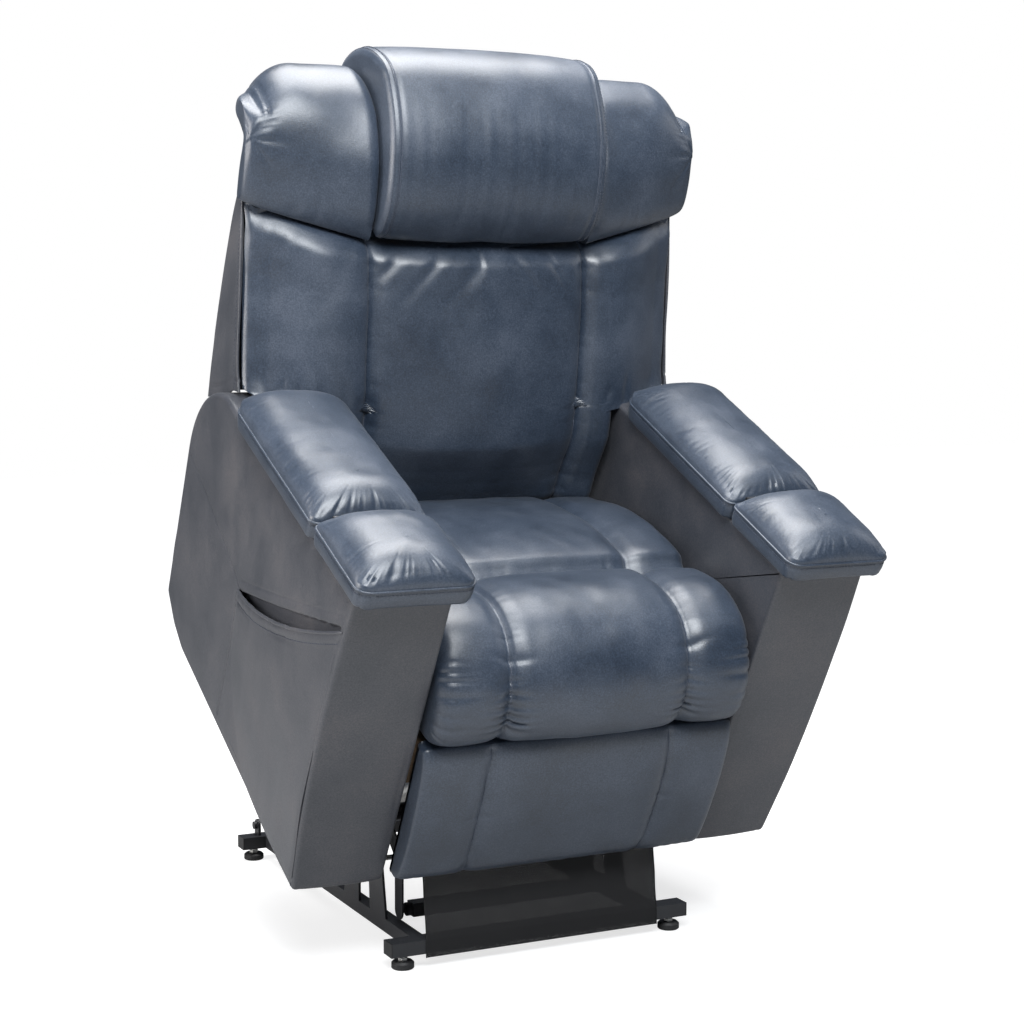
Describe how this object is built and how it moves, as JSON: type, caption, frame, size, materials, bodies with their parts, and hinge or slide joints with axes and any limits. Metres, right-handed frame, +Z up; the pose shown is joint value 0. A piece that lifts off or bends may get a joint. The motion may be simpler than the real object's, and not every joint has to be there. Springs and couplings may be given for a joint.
{
  "type": "lift recliner chair",
  "caption": "Powered lift recliner armchair with wing headrest, padded arms, side pocket and folding footrest, shown raised and tipped forward on its scissor-link floor base.",
  "frame": {"origin": "centre of the raised chair's outline, on the floor under its feet", "axes": "+Z up, +Y to the chair's rear, +X to the sitter's left; the chair stands raised at rest"},
  "size_m": [0.878, 1.047, 1.4452],
  "materials": {
    "leather_seating": "semi-gloss grained leather, slate blue",
    "leather_sides": "satin grained leather, slate blue with a brown undertone",
    "black_mesh": "woven mesh",
    "webbing": "woven",
    "plywood": "bare",
    "black_plastic": "matte",
    "bright_steel": "zinc plated",
    "black_steel": "satin black powder coat"
  },
  "bodies": {
    "base": {"front_floor_bar": "black_steel", "rear_floor_bar": "black_steel", "side_rails": "black_steel", "tube_end_plugs": "black_plastic", "levelling_feet": "black_plastic", "foot_stems": "bright_steel", "riser_plates": "black_steel", "riser_straps": "black_steel", "front_brace_tube": "black_steel", "base_pivot_bolts": "bright_steel", "lift_motor_bracket": "black_steel", "rear_lugs": "black_steel", "mesh_apron": "black_mesh"},
    "front_links": {"front_lift_links": "black_steel"},
    "rear_links": {"rear_lift_links": "black_steel"},
    "lift_motor": {"lift_motor": "black_plastic", "lift_motor_tube": "bright_steel"},
    "lift_rod": {"lift_rod": "bright_steel"},
    "carriage": {"carriage_plates": "black_steel", "carriage_tubes": "black_steel", "carriage_bolts": "bright_steel", "apron_rod": "bright_steel", "seat_box_sides": "plywood", "seat_box_rails": "plywood", "seat_webbing": "webbing", "seat_cushion": "leather_seating", "back_brackets": "black_steel", "arm_frame_left": "plywood", "arm_frame_right": "plywood", "arm_cover_left": "leather_sides", "arm_cover_right": "leather_sides", "side_pocket": "leather_sides", "storage_well_left": "black_plastic", "storage_well_right": "black_plastic", "arm_pad_left": "leather_seating", "arm_pad_right": "leather_seating", "lid_hinges": "bright_steel"},
    "lid_left": {"lid_plate_left": "black_steel", "lid_pad_left": "leather_seating"},
    "lid_right": {"lid_plate_right": "black_steel", "lid_pad_right": "leather_seating"},
    "foot_drive": {"footrest_drive_links": "black_steel"},
    "foot_arm": {"footrest_arm_links": "black_steel"},
    "foot_board": {"footrest_board": "plywood", "footrest_lugs": "black_steel", "footrest_pad": "leather_seating"},
    "back": {"back_pivot_frame": "black_steel", "back_uprights": "plywood", "back_rails": "plywood", "back_cushion": "leather_seating", "back_shell": "leather_sides", "back_lower_panel": "leather_sides", "wing_left": "leather_seating", "wing_right": "leather_seating", "headrest_hinge": "bright_steel"},
    "headrest": {"headrest_board": "plywood", "headrest_pillow": "leather_seating"},
    "back_motor": {"back_motor": "black_plastic", "back_motor_tube": "bright_steel"},
    "back_rod": {"back_rod": "bright_steel"}
  },
  "joints": [
    {"name": "lift", "type": "hinge", "parent": "base", "child": "front_links", "pos_m": [0, -0.033, 0.204], "axis": [1, 0, 0], "range_deg": [-79.82, 0], "deforming": ["mesh_apron"]},
    {"name": "carriage_tilt", "type": "hinge", "parent": "front_links", "child": "carriage", "pos_m": [0, 0.11947, 0.3638], "axis": [1, 0, 0], "range_deg": [-0.5, 52.86]},
    {"name": "rear_link_swing", "type": "hinge", "parent": "base", "child": "rear_links", "pos_m": [0, 0.049, 0.217], "axis": [1, 0, 0], "range_deg": [-68.73, 0.5]},
    {"name": "lift_motor_swing", "type": "hinge", "parent": "base", "child": "lift_motor", "pos_m": [0, 0.461, 0.07], "axis": [1, 0, 0], "range_deg": [-0.2, 0.733]},
    {"name": "lift_rod_stroke", "type": "slide", "parent": "lift_motor", "child": "lift_rod", "axis": [0, -0.9319, 0.3626], "range_m": [-0.08763, 0.0005]},
    {"name": "recline", "type": "hinge", "parent": "carriage", "child": "back", "pos_m": [0, 0.15406, 0.66108], "axis": [-1, 0, 0], "range_deg": [0, 35]},
    {"name": "back_motor_swing", "type": "hinge", "parent": "carriage", "child": "back_motor", "pos_m": [0, -0.00815, 0.42239], "axis": [1, 0, 0], "range_deg": [-0.2, 5.79]},
    {"name": "back_rod_stroke", "type": "slide", "parent": "back_motor", "child": "back_rod", "axis": [0, 0.7957, 0.6057], "range_m": [-0.05066, 0.0005]},
    {"name": "headrest_tilt", "type": "hinge", "parent": "back", "child": "headrest", "pos_m": [0, 0.04754, 1.1523], "axis": [1, 0, 0], "range_deg": [0, 12]},
    {"name": "footrest", "type": "hinge", "parent": "carriage", "child": "foot_drive", "pos_m": [0, -0.26401, 0.33788], "axis": [-1, 0, 0], "range_deg": [0, 158.68]},
    {"name": "footrest_knee", "type": "hinge", "parent": "foot_drive", "child": "foot_arm", "pos_m": [0, -0.12644, 0.32702], "axis": [1, 0, 0], "range_deg": [-0.5, 136.61]},
    {"name": "footrest_board_tilt", "type": "hinge", "parent": "foot_arm", "child": "foot_board", "pos_m": [0, -0.25547, 0.27808], "axis": [-1, 0, 0], "range_deg": [-0.5, 67.92]},
    {"name": "lid_left", "type": "hinge", "parent": "carriage", "child": "lid_left", "pos_m": [0.3465, -0.35038, 0.72529], "axis": [-1, 0, 0], "range_deg": [0, 78]},
    {"name": "lid_right", "type": "hinge", "parent": "carriage", "child": "lid_right", "pos_m": [-0.3465, -0.35038, 0.72529], "axis": [-1, 0, 0], "range_deg": [0, 78]}
  ],
  "couplings": [
    {"joint": "carriage_tilt", "follows": "lift", "ratio": -0.65599},
    {"joint": "rear_link_swing", "follows": "lift", "ratio": 0.85471},
    {"joint": "lift_motor_swing", "follows": "lift", "ratio": -0.006677},
    {"joint": "lift_rod_stroke", "follows": "lift", "m_per_rad": 0.062542},
    {"joint": "back_motor_swing", "follows": "recline", "ratio": 0.15968},
    {"joint": "back_rod_stroke", "follows": "recline", "m_per_rad": -0.082111},
    {"joint": "footrest_knee", "follows": "footrest", "ratio": 0.85773},
    {"joint": "footrest_board_tilt", "follows": "footrest", "ratio": 0.42489}
  ]
}
